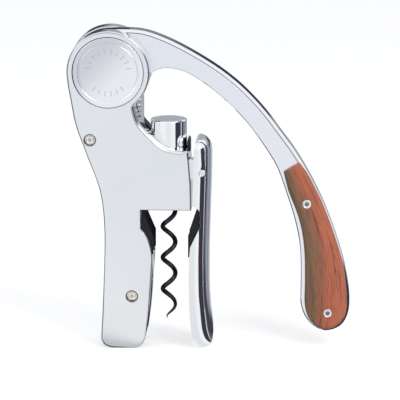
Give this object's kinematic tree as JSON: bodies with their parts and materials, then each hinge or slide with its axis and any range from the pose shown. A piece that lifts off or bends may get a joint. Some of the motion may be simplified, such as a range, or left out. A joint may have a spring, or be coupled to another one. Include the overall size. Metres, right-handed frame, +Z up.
{
  "type": "lever corkscrew",
  "caption": "Lever corkscrew: a curved lever with a wooden grip drives a rack and carriage, a worm turning through a nut, and a hinged jaw that grips the bottle neck.",
  "frame": {"origin": "on the ground under the middle of the outline, halfway through the depth", "axes": "+Z up along the worm, +X from the body towards the handle, +Y from the front face to the back"},
  "size_m": [0.1685, 0.032, 0.1926],
  "materials": {
    "polished_steel": "polished",
    "machined_steel": "machined",
    "black_rubber": "matte",
    "worm_coating": "glossy non-stick coating",
    "nut_plastic": "satin",
    "brass_parts": "machined",
    "red_wood": "oiled"
  },
  "bodies": {
    "frame": {"front_shell": "polished_steel", "rear_shell": "polished_steel", "front_medallion": "polished_steel", "rear_cap": "polished_steel", "lever_axle": "polished_steel", "axle_clip": "machined_steel", "guide_nut": "nut_plastic", "nut_retainer": "polished_steel", "carriage_buffer": "black_rubber", "body_pad": "black_rubber", "jaw_spring": "machined_steel", "jaw_stop": "black_rubber", "body_screws": "polished_steel", "body_inserts": "brass_parts", "dowel_pins": "machined_steel"},
    "lever": {"lever_arm": "polished_steel", "axle_bushes": "brass_parts", "drive_pinion": "machined_steel", "pinion_pins": "machined_steel", "front_scale": "red_wood", "rear_scale": "red_wood", "handle_bolts": "polished_steel", "handle_nuts": "machined_steel"},
    "slider": {"carriage": "polished_steel", "carriage_cap": "polished_steel", "rack": "machined_steel", "rack_screws": "machined_steel", "worm_bearing": "brass_parts"},
    "spindle": {"worm": "worm_coating", "worm_clip": "machined_steel"},
    "clamp": {"jaw": "polished_steel", "jaw_pin": "polished_steel", "jaw_pad": "black_rubber"}
  },
  "joints": [
    {"name": "lever_swing", "type": "hinge", "parent": "frame", "child": "lever", "pos_m": [-0.05965, 0, 0.168], "axis": [0, -1, 0], "range_deg": [0, 200]},
    {"name": "carriage_slide", "type": "slide", "parent": "frame", "child": "slider", "axis": [0, 0, 1], "range_m": [0, 0.0612]},
    {"name": "worm_spin", "type": "hinge", "parent": "slider", "child": "spindle", "pos_m": [-0.02465, 0, 0.1], "axis": [0, 0, 1], "range_deg": [0, 1145]},
    {"name": "jaw_pivot", "type": "hinge", "parent": "frame", "child": "clamp", "pos_m": [-0.00395, 0, 0.1077], "axis": [0, -1, 0], "range_deg": [0, 9], "stiffness_Nm_per_rad": 0.5, "springref_deg": -11.46}
  ],
  "couplings": [
    {"joint": "carriage_slide", "follows": "lever_swing", "m_per_rad": 0.0175},
    {"joint": "worm_spin", "follows": "lever_swing", "ratio": 5.6972}
  ]
}
